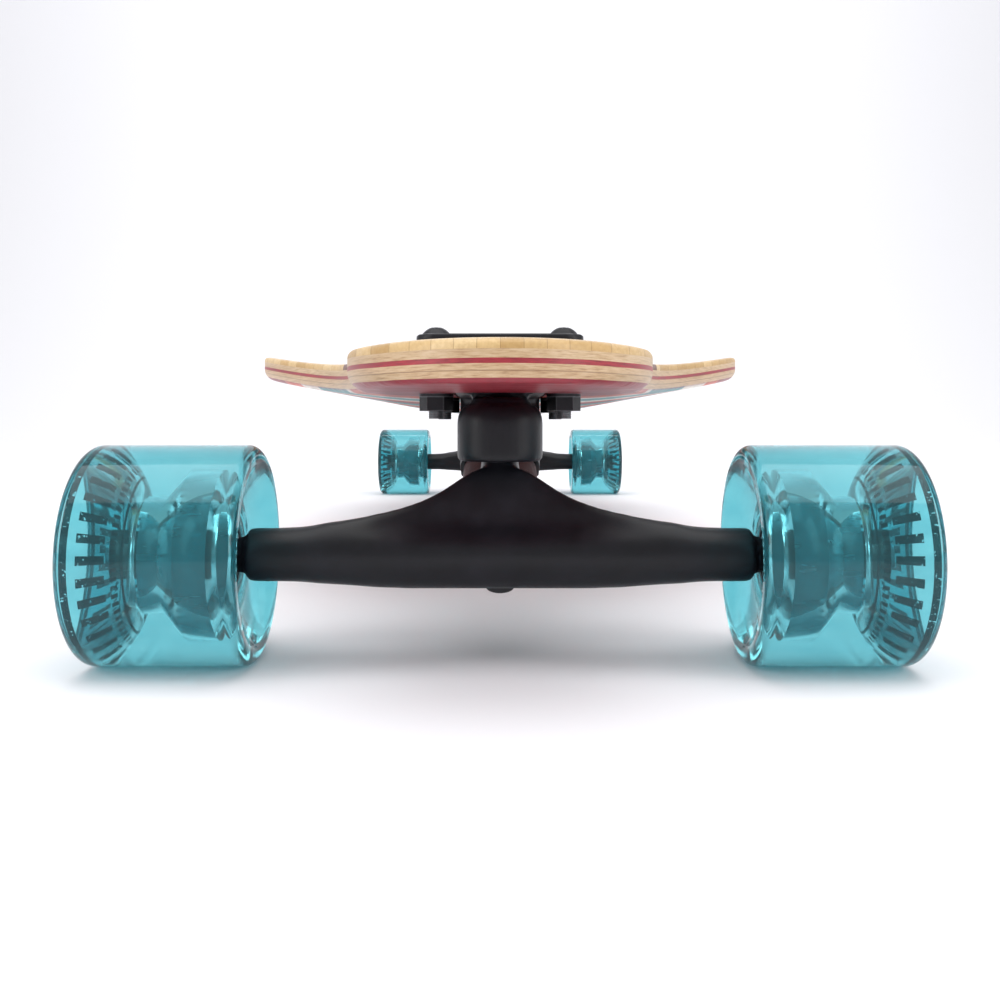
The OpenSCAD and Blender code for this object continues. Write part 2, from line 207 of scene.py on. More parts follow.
def bamboo():
    """Strips of caramel bamboo with two dark stringers under a clear gritty coat."""
    s = Shader("bamboo")
    x, y, z = s.xyz()
    across = s.math("DIVIDE", x, STRIP_W)
    strip = s.math("FLOOR", across)
    piece = s.math("FLOOR", s.math("ADD", s.math("DIVIDE", y, STRIP_L), s.math("MULTIPLY", strip, 0.37)))
    tone = s.add("ShaderNodeTexWhiteNoise", {"noise_dimensions": "2D"},
                 i0=s.add("ShaderNodeCombineXYZ", X=strip, Y=piece).outputs[0]).outputs[0]
    wood = s.ramp(tone, [(0.0, "#B8935A"), (0.4, "#D3B27C"), (0.75, "#DDC190"), (1.0, "#C6A066")])
    grain = s.noise(s.stretched((900, 14, 900)), 1.0, 5.0, 0.6)
    wood = s.mix(s.span(grain, 0.35, 0.75, 0.0, 0.42), wood, srgb("#A67C42"))
    seam = s.math("LESS_THAN", s.math("FRACT", across), 0.035)
    wood = s.mix(s.math("MULTIPLY", seam, 0.55), wood, srgb("#8A6432"))
    away = s.math("ABSOLUTE", s.math("SUBTRACT", s.math("ABSOLUTE", x), STRINGER_X))
    walnut = s.mix(grain, srgb("#5A3325"), srgb("#7A4A38"))
    wood = s.mix(s.math("LESS_THAN", away, STRINGER_HALF), wood, walnut)
    coated = s.span(s.facing_up(), 0.8, 0.98)
    grit = s.add("ShaderNodeTexVoronoi", Vector=s.place(), Scale=1500.0).outputs[0]
    fleck = s.math("MULTIPLY", s.math("LESS_THAN", grit, 0.24), coated)
    haze = s.math("MULTIPLY", coated, s.span(s.noise(s.place(), 60.0), 0.3, 0.7, 0.10, 0.22))
    wood = s.mix(haze, wood, srgb("#F1EADB"))
    wood = s.mix(s.math("MULTIPLY", fleck, 0.65), wood, srgb("#FBF7EE"))
    rough = s.span(s.noise(s.place(), 900.0), 0.3, 0.7, 0.36, 0.62)
    raised = s.bump(s.math("MULTIPLY", grit, coated), 0.35 * MM, 0.55)
    s.surface(Base_Color=wood, Roughness=rough, Normal=s.bump(grain, 0.08 * MM, 0.4, raised),
              Coat_Weight=0.25, Coat_Roughness=0.25)
    return s.material


def edge_wood(name, light, mid, dark, line_depth=None):
    """A veneer on its sanded edge: grain and pores, and a glue line at line_depth if it is given."""
    s = Shader(name)
    grain = s.noise(s.stretched((260, 26, 2400)), 1.0, 6.0, 0.62)
    colour = s.ramp(grain, [(0.28, dark), (0.48, mid), (0.72, light)])
    broad = s.noise(s.stretched((30, 8, 90)), 1.0, 2.0)
    colour = s.mix(s.span(broad, 0.35, 0.7, 0.0, 0.3), colour, srgb(dark))
    pores = s.add("ShaderNodeTexVoronoi", Vector=s.stretched((1500, 180, 1500)), Scale=1.0).outputs[0]
    colour = s.mix(s.math("MULTIPLY", s.math("LESS_THAN", pores, 0.12), 0.4), colour, srgb(dark))
    if line_depth is not None:
        x, y, z = s.xyz()
        depth = s.math("SUBTRACT", deck_top - line_depth, z)
        off = s.math("ABSOLUTE", s.math("ADD", depth, curve_rise(s, x)))
        colour = s.mix(s.span(off, 0.08 * MM, 0.2 * MM, 0.6, 0.0), colour, srgb("#7B5836"))
    s.surface(Base_Color=colour, Roughness=s.span(grain, 0.3, 0.7, 0.38, 0.52),
              Normal=s.bump(grain, 0.06 * MM, 0.5), Coat_Weight=0.2, Coat_Roughness=0.3)
    return s.material


def curve_rise(s, x):
    """The deck's concave as shader nodes, the same curve as rail_rise()."""
    out = s.math("MAXIMUM", s.math("SUBTRACT", s.math("ABSOLUTE", x), FLAT_HALF), 0.0)
    share = s.math("DIVIDE", out, half_width - FLAT_HALF)
    return s.math("MULTIPLY", s.math("POWER", share, RAIL_POWER), CONCAVE)


def underside():
    """The bottom veneer: dark red, with plain teal, white and orange bands along the board."""
    s = Shader("painted_red_veneer")
    x, y, z = s.xyz()
    wave = s.noise(s.stretched((9, 9, 0)), 1.0, 1.0)
    along = s.math("SUBTRACT", s.math("ABSOLUTE", y), s.math("MULTIPLY", s.math("ABSOLUTE", x), 0.55))
    along = s.math("ADD", along, s.math("MULTIPLY", s.math("SUBTRACT", wave, 0.5), 0.05))
    bands = s.ramp(s.span(along, 0.0, 0.5), [
        (0.0, "#C9472B"), (0.10, "#EDE8DC"), (0.15, "#2F8E96"), (0.30, "#8C1F2C"), (0.42, "#D9552E"),
        (0.47, "#EDE8DC"), (0.52, "#2F8E96"), (0.63, "#EDE8DC"), (0.66, "#C9472B"), (0.74, "#8F2230")],
        "CONSTANT")
    grain = s.noise(s.stretched((420, 12, 420)), 1.0, 5.0)
    colour = s.mix(s.span(grain, 0.4, 0.75, 0.0, 0.35), bands, srgb("#5E1620"))
    edge = s.mix(grain, srgb("#6B1722"), srgb("#98303A"))
    colour = s.mix(s.span(s.facing_up(), -0.85, -0.6), colour, edge)
    scuff = s.noise(s.stretched((55, 420, 55)), 1.0, 3.0)
    s.surface(Base_Color=colour, Roughness=s.span(scuff, 0.3, 0.7, 0.28, 0.5),
              Normal=s.bump(grain, 0.05 * MM, 0.4), Coat_Weight=0.12, Coat_Roughness=0.2)
    return s.material


def cast_black():
    """Satin black powder coat on a cast aluminium truck, a little worn along its edges."""
    s = Shader("cast_black")
    fine = s.noise(s.place(), 1600.0, 3.0)
    broad = s.noise(s.place(), 70.0, 4.0)
    colour = s.ramp(broad, [(0.3, "#111116"), (0.55, "#17171D"), (0.8, "#1F1F26")])
    worn = s.math("MULTIPLY", s.edges(0.7 * MM), s.span(s.noise(s.place(), 260.0), 0.5, 0.66))
    colour = s.mix(s.math("MULTIPLY", worn, 0.6), colour, srgb("#5A5A61"))
    s.surface(Base_Color=colour, Roughness=s.span(broad, 0.3, 0.7, 0.32, 0.46),
              Normal=s.bump(fine, 0.06 * MM, 0.5), Specular_IOR_Level=0.28)
    return s.material


def metal(name, colour, dark, low, high, metallic=1.0):
    """Turned or plated metal with fine tool marks and smudges."""
    s = Shader(name)
    marks = s.noise(s.stretched((2600, 500, 500)), 1.0, 3.0)
    smudge = s.noise(s.place(), 120.0, 4.0)
    tint = s.mix(s.span(smudge, 0.35, 0.7, 0.0, 0.5), srgb(colour), srgb(dark))
    tint = s.mix(s.math("MULTIPLY", s.edges(0.4 * MM), 0.35), tint, srgb("#A9A9AE"))
    s.surface(Base_Color=tint, Metallic=metallic, Roughness=s.span(smudge, 0.3, 0.7, low, high),
              Normal=s.bump(marks, 0.02 * MM, 0.35))
    return s.material


def face_print(s):
    """1 on the plain rings and dashes printed on a wheel's outer face. Radii are in mm."""
    x, y, z = s.xyz()
    across = s.math("SUBTRACT", s.math("ABSOLUTE", y), wheelbase / 2)
    up = s.math("SUBTRACT", z, wheel_r)
    radius = s.math("SQRT", s.math("ADD", s.math("MULTIPLY", across, across), s.math("MULTIPLY", up, up)))
    turn = s.math("DIVIDE", s.math("ARCTAN2", up, across), 2 * math.pi)

    def band(low, high):
        return s.math("MULTIPLY", s.math("GREATER_THAN", radius, low * MM),
                      s.math("LESS_THAN", radius, high * MM))

    def dashes(count, share):
        return s.math("LESS_THAN", s.math("FRACT", s.math("MULTIPLY", turn, count)), share)

    ink = s.math("ADD", band(17.6, 18.2), band(27.4, 28.2))
    ink = s.math("ADD", ink, s.math("MULTIPLY", band(21.6, 26.2), dashes(26, 0.42)))
    ink = s.math("ADD", ink, s.math("MULTIPLY", band(19.2, 20.6), dashes(52, 0.5)))
    outer = s.math("GREATER_THAN", s.math("ABSOLUTE", x), core_high.x + 0.5 * MM)
    worn = s.math("GREATER_THAN", s.noise(s.place(), 900.0, 3.0), 0.36)
    return s.math("MULTIPLY", s.math("MULTIPLY", ink, outer), worn)


def urethane():
    """Cast clear teal urethane with faint flow marks, dust and a dark print on the outer face."""
    s = Shader("teal_urethane")
    flow = s.noise(s.stretched((40, 160, 160)), 1.0, 3.0)
    dust = s.noise(s.place(), 700.0, 4.0)
    tint = s.mix(s.span(flow, 0.35, 0.7, 0.0, 0.5), srgb("#72C8D2"), srgb("#54B4C2"))
    ink = face_print(s)
    tint = s.mix(ink, tint, srgb("#1D323B"))
    s.surface(Base_Color=tint, Transmission_Weight=s.math("SUBTRACT", 0.93, s.math("MULTIPLY", ink, 0.9)),
              IOR=1.34, Roughness=s.span(dust, 0.45, 0.75, 0.03, 0.12),
              Normal=s.bump(flow, 0.06 * MM, 0.2))
    return s.material


def clear_core():
    """Clear nylon core, slightly milky."""
    s = Shader("clear_core")
    flow = s.noise(s.stretched((60, 300, 300)), 1.0, 3.0)
    tint = s.mix(flow, srgb("#D9EEF0"), srgb("#A9D6DC"))
    s.surface(Base_Color=tint, Transmission_Weight=0.7, IOR=1.3,
              Roughness=s.span(flow, 0.3, 0.7, 0.14, 0.3), Normal=s.bump(flow, 0.05 * MM, 0.3))
    return s.material


def rubbery(name, colour, dark, roughness):
    """Soft urethane or rubber with a dusty skin."""
    s = Shader(name)
    skin = s.noise(s.place(), 420.0, 5.0)
    dust = s.noise(s.place(), 60.0, 3.0)
    tint = s.mix(s.span(dust, 0.4, 0.75, 0.0, 0.5), srgb(colour), srgb(dark))
    s.surface(Base_Color=tint, Roughness=s.span(skin, 0.3, 0.7, roughness, roughness + 0.18),
              Normal=s.bump(skin, 0.05 * MM, 0.5), Subsurface_Weight=0.05)
    return s.material


MATERIALS = {
    "bamboo": bamboo(),
    "maple_upper": edge_wood("maple_upper", "#D8C0A0", "#C6A882", "#9E7A54"),
    "maple_core": edge_wood("maple_core", "#D6BC9A", "#C3A27C", "#9A744E", line_depth=8.0 * MM),
    "red_veneer": edge_wood("red_veneer", "#B5303C", "#98222F", "#64161F"),
    "painted_red_veneer": underside(),
    "cast_black": cast_black(),
    "black_hardware": metal("black_hardware", "#1B1B20", "#0F0F12", 0.30, 0.46, 0.5),
    "steel": metal("steel", "#B9BBC0", "#85878D", 0.22, 0.40),
    "bearing_shield": metal("bearing_shield", "#2A2B31", "#17171B", 0.28, 0.42, 0.6),
    "teal_urethane": urethane(),
    "clear_core": clear_core(),
    "bushing": rubbery("bushing_urethane", "#3A1216", "#240C10", 0.5),
    "pivot_cup": rubbery("pivot_cup_urethane", "#1C1C1F", "#101012", 0.5),
}


def paint(obj, material):
    obj.data.materials.clear()
    obj.data.materials.append(MATERIALS[material])


# ---- mesh helpers ----
def new_object(name, verts, faces, material, smooth_deg=35):
    """A mesh object with its normals outward, and edges sharper than smooth_deg kept crisp."""
    mesh = bpy.data.meshes.new(name)
    mesh.from_pydata(verts, [], faces)
    obj = bpy.data.objects.new(name, mesh)
    bpy.context.scene.collection.objects.link(obj)
    bm = bmesh.new()
    bm.from_mesh(mesh)
    bmesh.ops.remove_doubles(bm, verts=bm.verts, dist=1e-7)
    bmesh.ops.recalc_face_normals(bm, faces=bm.faces)
    bm.to_mesh(mesh)
    bm.free()
    shade(obj, smooth_deg)
    paint(obj, material)
    return obj


def shade(obj, angle_deg):
    mesh = obj.data
    mesh.shade_smooth()
    mesh.set_sharp_from_angle(angle=math.radians(angle_deg))


def apply_modifiers(obj):
    """Turns the object's modifiers into plain mesh."""
    graph = bpy.context.evaluated_depsgraph_get()
    mesh = bpy.data.meshes.new_from_object(obj.evaluated_get(graph))
    obj.modifiers.clear()
    obj.data = mesh


def revolve(name, profile, origin, axis_turn, material, steps=128, smooth_deg=35):
    """Turns a closed profile of (radius, height) round Z, then turns and moves it into place."""
    place = Matrix.Translation(origin) @ axis_turn
    verts = []
    for i in range(steps):
        a = 2 * math.pi * i / steps
        verts += [place @ Vector((r * math.cos(a), r * math.sin(a), h)) for r, h in profile]
    n = len(profile)
    faces = []
    for i in range(steps):
        j = (i + 1) % steps
        for k in range(n):
            m = (k + 1) % n
            faces.append((i * n + k, i * n + m, j * n + m, j * n + k))
    return new_object(name, verts, faces, material, smooth_deg)


def arc(cx, cy, r, a0, a1, steps=8):
    return [(cx + r * math.cos(math.radians(a0 + (a1 - a0) * i / steps)),
             cy + r * math.sin(math.radians(a0 + (a1 - a0) * i / steps))) for i in range(steps + 1)]


def prism(name, outline, low, high):
    """A straight prism used as a cutter."""
    n = len(outline)
    verts = [(x, y, low) for x, y in outline] + [(x, y, high) for x, y in outline]
    faces = [tuple(range(n - 1, -1, -1)), tuple(range(n, 2 * n))]
    faces += [(i, (i + 1) % n, (i + 1) % n + n, i + n) for i in range(n)]
    return new_object(name, verts, faces, "steel")


# ---- deck ----
TOP_ROUND = 2.4 * MM
BOTTOM_ROUND = 4.6 * MM
CUT_REACH = 30 * MM        # how far the cutters reach above and below the deck's top
PLIES = (  # node, material, slot in the record, depth of its top, thickness
    ("deck_bamboo_ply", "bamboo", "bamboo", 0.0, 2.8),
    ("deck_maple_upper_ply", "maple_upper", "maple", 2.8, 2.2),
    ("deck_red_middle_ply", "red_veneer", "red_veneer", 5.0, 1.3),
    ("deck_maple_core_ply", "maple_core", "maple", 6.3, 3.4),
    ("deck_red_bottom_ply", "painted_red_veneer", "red_veneer", 9.7, 1.3),
)


def rail_rise(x):
    share = max(0.0, abs(x) - FLAT_HALF) / (half_width - FLAT_HALF)
    return CONCAVE * share ** RAIL_POWER


def quarter_outline():
    """Half widths from the front tip to the middle, as (x, y)."""
    points = []
    for i in range(1, 41):
        a = math.radians(90 * i / 40)
        points.append((NECK_HALF * math.sin(a), -(half_length - NOSE_L + NOSE_L * math.cos(a))))
    start = wheelbase / 2 - SHOULDER_LEAD
    for i in range(0, 49):
        t = i / 48
        blend = t - (0.3 + 0.7 * t) * math.sin(2 * math.pi * t) / (2 * math.pi)
        points.append((NECK_HALF + (half_width - NECK_HALF) * blend, -(start - SHOULDER_L * t)))
    widest_y = points[-1][1]
    for i in range(1, 9):
        points.append((half_width, widest_y * (1 - i / 8)))
    return points


def outline_rows():
    """Rows from the front tip to the rear tip, each (x, y, outward normal)."""
    front = quarter_outline()
    rows = front + [(x, -y) for x, y in reversed(front[:-1])]
    result = []
    for i, (x, y) in enumerate(rows):
        x0, y0 = rows[max(0, i - 1)]
        x1, y1 = rows[min(len(rows) - 1, i + 1)]
        if i == 0:
            x0, y0 = -x, y
        if i == len(rows) - 1:
            x1, y1 = -x, y
        along = Vector((x1 - x0, y1 - y0)).normalized()
        normal = Vector((along.y, -along.x))
        outward = normal.x >= 0 or abs(normal.x) < 1e-6 and normal.y * y > 0
        result.append((x, y, normal if outward else -normal))
    return result


def inset(depth):
    """How far the sanded edge lies inside the outline at this depth under the top."""
    if depth < TOP_ROUND:
        return TOP_ROUND - math.sqrt(TOP_ROUND ** 2 - (TOP_ROUND - depth) ** 2)
    below = depth - (DECK_T - BOTTOM_ROUND)
    if below > 0:
        return BOTTOM_ROUND - math.sqrt(max(0.0, BOTTOM_ROUND ** 2 - below ** 2))
    return 0.0


def ply_mesh(node, material, depth, thick, columns=40, levels=6):
    """One ply as a grid: levels down its thickness, rows along the board, columns across."""
    rows = outline_rows()
    last = len(rows) - 1
    verts = []
    index = {}

    def add(key, x, y, d):
        index[key] = len(verts)
        verts.append((x, y, deck_top - d + rail_rise(x)))

    depths = [depth + thick * k / levels for k in range(levels + 1)]
    for k, d in enumerate(depths):
        step = inset(d)
        for i, (x, y, n) in enumerate(rows):
            wide = max(0.2 * MM, x - n.x * step)
            yy = y - n.y * step
            for j in range(columns + 1):
                if 0 < k < levels and 0 < j < columns and 0 < i < last:
                    continue
                add((k, i, j), wide * (2 * j / columns - 1), yy, d)
    faces = []
    for k, up in ((0, True), (levels, False)):
        for i in range(last):
            for j in range(columns):
                quad = [index[k, i, j], index[k, i, j + 1], index[k, i + 1, j + 1], index[k, i + 1, j]]
                faces.append(quad if up else quad[::-1])
    for k in range(levels):
        for i in range(last):
            for j in (0, columns):
                faces.append([index[k, i, j], index[k, i + 1, j], index[k + 1, i + 1, j],
                              index[k + 1, i, j]])
        for j in range(columns):
            for i in (0, last):
                faces.append([index[k, i, j], index[k, i, j + 1], index[k + 1, i, j + 1],
                              index[k + 1, i, j]])
    return new_object(node + "_sanded", verts, faces, material, 40)


def slot_outline(end):
    """The rounded opening that the truck drops through."""
    sign = ENDS[end]
    half, r = SLOT_HALF, SLOT_CORNER
    first, last = SLOT_ENDS
    points = arc(half - r, last - r, r, 0, 90) + arc(r - half, last - r, r, 90, 180)
    points += arc(r - half, first + r, r, 180, 270) + arc(half - r, first + r, r, 270, 360)
    return [(x, sign * (axle_y + y)) for x, y in points]


def bolt_places(end):
    sign = ENDS[end]
    return [(x, sign * (axle_y + y)) for x in (-BOLT_X, BOLT_X) for y in BOLT_YS]


def build_deck():
    """The five plies, each cut for the trucks and their bolts."""
    cutters = []
    for end in ENDS:
        cutters.append(prism("cutter", slot_outline(end), deck_top - CUT_REACH, deck_top + CUT_REACH))
        for x, y in bolt_places(end):
            hole = arc(x, y, BOLT_HOLE_R, 0, 345, 23)
            cutters.append(prism("cutter", hole, deck_top - CUT_REACH, deck_top + CUT_REACH))
    for node, material, slot, depth, thick in PLIES:
        ply = ply_mesh(node, material, depth * MM, thick * MM)
        for cutter in cutters:
            cut = ply.modifiers.new("opening", "BOOLEAN")
            cut.operation = "DIFFERENCE"
            cut.solver = "EXACT"
            cut.object = cutter
        apply_modifiers(ply)
        shade(ply, 40)
        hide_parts(node)
        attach(ply, "deck")
    for cutter in cutters:
        bpy.data.objects.remove(cutter)


build_deck()


# ---- castings ----
def softened(node, name, voxel, passes, keep=None):
    """A copy of a CAD casting with the soft edges and fillets that a foundry leaves."""
    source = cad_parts[node]
    obj = bpy.data.objects.new(name, source.data.copy())
    bpy.context.scene.collection.objects.link(obj)
    bm = bmesh.new()
    bm.from_mesh(obj.data)
    bmesh.ops.remove_doubles(bm, verts=bm.verts, dist=1e-6)
    bm.to_mesh(obj.data)
    bm.free()
    remesh = obj.modifiers.new("skin", "REMESH")
    remesh.mode = "VOXEL"
    remesh.voxel_size = voxel
    apply_modifiers(obj)
    smooth = obj.modifiers.new("fillets", "SMOOTH")
    smooth.factor = 0.5
    smooth.iterations = passes
    if keep is not None:
        group = obj.vertex_groups.new(name="cast")
        for v in obj.data.vertices:
            group.add([v.index], keep(v.co), "REPLACE")
        smooth.vertex_group = "cast"
    apply_modifiers(obj)
    obj.vertex_groups.clear()
    obj.data.shade_smooth()
    paint(obj, "cast_black")
    return obj


BAR_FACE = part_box("front_hanger")[1].x
SHOULDER_X = 58 * MM       # where the web meets the bar


def bar_softness(co):
    """How strongly the hanger is smoothed here: most at the shoulder, none at the machined ends."""
    end_part = max(0.0, min(1.0, (BAR_FACE - 7 * MM - abs(co.x)) / (10 * MM)))
    shoulder = max(0.0, 1 - abs(abs(co.x) - SHOULDER_X) / (20 * MM))
    return min(end_part, 0.3 + 0.7 * min(1.0, 1.6 * shoulder))


NECK_LOW, NECK_HIGH = 76.5 * MM, 83 * MM      # heights between which the bell draws in
NECK_PINCH = 0.25
BELL_BACK = 14 * MM        # the bell's side towards the kingpin, from the axle


def draw_in_neck(obj, end):
    """Rounds the pivot bell's shoulder in to a narrower neck under the deck."""
    sign = ENDS[end]
    for v in obj.data.vertices:
        along = sign * v.co.y - axle_y
        if v.co.z < NECK_LOW or v.co.z > deck_top - DECK_T or along > BELL_BACK:
            continue
        up = min(1.0, (v.co.z - NECK_LOW) / (NECK_HIGH - NECK_LOW))
        fade = min(1.0, (BELL_BACK - along) / (6 * MM))
        share = NECK_PINCH * (1 - math.sqrt(1 - up * up)) * fade
        v.co.x *= 1 - share
        if along < PIVOT_Y:
            v.co.y = sign * (axle_y + PIVOT_Y + (along - PIVOT_Y) * (1 - share))


for end in ENDS:
    bar = softened(end + "_hanger", end + "_hanger_casting", 1.1 * MM, 150, bar_softness)
    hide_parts(end + "_hanger")
    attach(bar, end + "_hanger_assembly")
    base = softened(end + "_baseplate", end + "_baseplate_casting", 0.9 * MM, 5)
    draw_in_neck(base, end)
    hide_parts(end + "_baseplate")
    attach(base, "deck")


# ---- wheels ----
TYRE_FACE = 2 * MM
INNER_LIP = 3.5 * MM
OUTER_LIP = 4 * MM
CORE_SKIN = 0.15 * MM      # the core's gap to the tyre round it


def wheel_profile():
    """The tyre's closed section as (radius, distance outboard from the board's middle)."""
    first, last = tyre_low.x, tyre_high.x
    inner = wheel_r - INNER_LIP - TYRE_FACE
    outer = wheel_r - OUTER_LIP - TYRE_FACE
    steps = 14
    points = [(CORE_R, core_low.x)]
    for i in range(1, steps + 1):
        t = i / steps
        points.append((CORE_R + (inner - CORE_R) * t, core_low.x + (first - core_low.x) * t ** 2))
    points += [(r, h) for h, r in arc(first + INNER_LIP, wheel_r - INNER_LIP, INNER_LIP, 180, 90, 10)]
    points += [(r, h) for h, r in arc(last - OUTER_LIP, wheel_r - OUTER_LIP, OUTER_LIP, 90, 0, 10)]
    for i in range(steps, 0, -1):
        t = i / steps
        points.append((CORE_R + (outer - CORE_R) * t, core_high.x + (last - core_high.x) * t ** 1.6))
    points.append((CORE_R, core_high.x))
    return points + core_profile()[::-1]


def core_profile():
    """The core's outer section, from its inner end to its outer end."""
    return [(CORE_R, core_low.x + CORE_END_GAP), (CORE_R, CORE_MID - 7 * MM),
            (FLANGE_R, CORE_MID - 5 * MM), (FLANGE_R, CORE_MID + 5 * MM),
            (CORE_R, CORE_MID + 11 * MM), (CORE_R, core_high.x - CORE_END_GAP)]


def outboard(end, side):
    """The axle's middle, and the turn that points a wheel's Z outboard."""
    origin = Vector((0, ENDS[end] * axle_y, wheel_r))
    return origin, Matrix.Rotation(SIDES[side] * math.pi / 2, 4, "Y")


def ribs_tree():
    """Geometry Nodes: a ring of thin ribs round an axle, joined into one mesh."""
    tree = bpy.data.node_groups.new("rib_ring", "GeometryNodeTree")
    face = tree.interface
    sockets = {}
    for label, kind in (("Count", "NodeSocketInt"), ("Radius", "NodeSocketFloat"),
                        ("Rib Size", "NodeSocketVector"), ("Material", "NodeSocketMaterial")):
        sockets[label] = face.new_socket(name=label, in_out="INPUT", socket_type=kind).identifier
    face.new_socket(name="Geometry", in_out="OUTPUT", socket_type="NodeSocketGeometry")
    nodes, links = tree.nodes, tree.links
    start = nodes.new("NodeGroupInput")
    end = nodes.new("NodeGroupOutput")
    circle = nodes.new("GeometryNodeMeshCircle")
    cube = nodes.new("GeometryNodeMeshCube")
    turn = nodes.new("FunctionNodeAlignRotationToVector")
    turn.axis = "X"
    where = nodes.new("GeometryNodeInputPosition")
    place = nodes.new("GeometryNodeInstanceOnPoints")
    real = nodes.new("GeometryNodeRealizeInstances")
    give = nodes.new("GeometryNodeSetMaterial")
    links.new(start.outputs["Count"], circle.inputs["Vertices"])
    links.new(start.outputs["Radius"], circle.inputs["Radius"])
    links.new(start.outputs["Rib Size"], cube.inputs["Size"])
    links.new(circle.outputs["Mesh"], place.inputs["Points"])
    links.new(cube.outputs["Mesh"], place.inputs["Instance"])
    links.new(where.outputs[0], turn.inputs["Vector"])
    links.new(turn.outputs[0], place.inputs["Rotation"])
    links.new(place.outputs[0], real.inputs[0])
    links.new(real.outputs[0], give.inputs["Geometry"])
    links.new(start.outputs["Material"], give.inputs["Material"])
    links.new(give.outputs[0], end.inputs[0])
    return tree, sockets


RIBS, RIB_SOCKETS = ribs_tree()


def rib_ring(name, place, count, radius, size, material):
    """A ring of ribs made by the node group, as a plain mesh in the board's frame."""
    holder = bpy.data.objects.new(name, bpy.data.meshes.new(name))
    bpy.context.scene.collection.objects.link(holder)
    modifier = holder.modifiers.new("ribs", "NODES")
    modifier.node_group = RIBS
    modifier[RIB_SOCKETS["Count"]] = count
    modifier[RIB_SOCKETS["Radius"]] = radius
    modifier[RIB_SOCKETS["Rib Size"]] = size
    modifier[RIB_SOCKETS["Material"]] = MATERIALS[material]
    holder.update_tag()
    bpy.context.view_layer.update()
    apply_modifiers(holder)
    holder.data.transform(place)
    paint(holder, material)
    return holder


def add_piece(obj, body, slot, *nodes):
    """Says which body a piece rides on and hides the nodes it stands for; slot is not used."""
    if nodes:
        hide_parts(*nodes)
    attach(obj, body)


def bearing_section(low):
    """Half a bearing shell: a bevelled outer ring, a groove, and a shield on each face."""
    high = low + BEARING_W
    return [(BEARING_R, low + 0.3 * MM), (BEARING_R, high - 0.3 * MM), (10.7 * MM, high),
            (9.5 * MM, high), (9.4 * MM, high - 0.5 * MM), (9.1 * MM, high - 0.55 * MM),
            (8.8 * MM, high - 0.25 * MM), (6.4 * MM, high - 0.25 * MM), (5.9 * MM, high - 0.5 * MM),
            (5.9 * MM, low + 0.5 * MM), (6.4 * MM, low + 0.25 * MM), (8.8 * MM, low + 0.25 * MM),
            (9.1 * MM, low + 0.55 * MM), (9.4 * MM, low + 0.5 * MM), (9.5 * MM, low),
            (10.7 * MM, low)]


def build_wheel(end, side):
    """A tyre, its clear ribbed core and two bearings."""
    name = f"{end}_{side}"
    body = name + "_wheel"
    origin, turn = outboard(end, side)
    tyre = revolve(name + "_cast_tyre", wheel_profile(), origin, turn, "teal_urethane", 160, 50)
    add_piece(tyre, body, "teal_urethane", name + "_tyre")
    outside = [(r - CORE_SKIN, h) for r, h in core_profile()]
    seat_low, seat_high = BEARING_LOWS[0] + BEARING_W, BEARING_LOWS[1]
    bore = [(BORE_R, core_high.x - CORE_END_GAP), (BORE_R, seat_high), (9 * MM, seat_high),
            (9 * MM, seat_low), (BORE_R, seat_low), (BORE_R, core_low.x + CORE_END_GAP)]
    core = revolve(name + "_clear_core", outside + bore, origin, turn, "clear_core", 128)
    add_piece(core, body, "clear_core", name + "_wheel_core")
    along = Matrix.Translation(origin) @ turn
    ribs = rib_ring(name + "_core_ribs", along @ Matrix.Translation((0, 0, CORE_MID)), 36, 16.4 * MM,
                    (4.6 * MM, 0.7 * MM, 8.6 * MM), "clear_core")
    add_piece(ribs, body, "clear_core")
    for k, low in enumerate(BEARING_LOWS):
        shell = revolve(f"{name}_bearing_{k + 1}", bearing_section(low), origin, turn,
                        "bearing_shield", 96)
        stands_for = [name + "_bearing_shells"] if k == 0 else []
        add_piece(shell, body, "bearing_shield", *stands_for)


for end in ENDS:
    for side in SIDES:
        build_wheel(end, side)


# ---- bushings ----
RING_HALF_T = 4 * MM
TOP_SEAT, BOTTOM_SEAT = 18 * MM, -14 * MM      # where the cup washers hold the bushings


def ring_frame(end):
    """The bushing ring's frame: Z along the kingpin towards the deck."""
    place = Matrix.Translation((0, ENDS[end] * axle_y, wheel_r))
    if end == "rear":
        place = place @ Matrix.Rotation(math.pi, 4, "Z")
    ring = Vector((0, RING_Y, PIVOT_Z - (RING_Y - PIVOT_Y) * math.tan(STEER)))
    return place @ Matrix.Translation(ring) @ Matrix.Rotation(-STEER, 4, "X")


def bushing(name, end, low_r, high_r, low, high, node):
    """A soft bushing that bulges a little, from low to high along the kingpin."""
    bore = 4.78 * MM
    e = 0.9 * MM
    steps = 10
    outer = [(low_r - e, low)]
    for i in range(steps + 1):
        t = i / steps
        belly = 0.35 * MM * math.sin(math.pi * t) - 0.35 * MM
        outer.append((low_r + (high_r - low_r) * t + belly, low + e + (high - low - 2 * e) * t))
    outer.append((high_r - e, high))
    section = outer + [(bore, high), (bore, low)]
    place = ring_frame(end)
    obj = revolve(name, section, (0, 0, 0), place, "bushing", 72, 60)
    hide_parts(node)
    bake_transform(obj)


for end in ENDS:
    bushing(end + "_upper_bushing_soft", end, 13.5 * MM, 13.5 * MM, RING_HALF_T, TOP_SEAT,
            end + "_top_bushing")
    bushing(end + "_lower_bushing_soft", end, 10.5 * MM, 13 * MM, BOTTOM_SEAT, -RING_HALF_T,
            end + "_bottom_bushing")


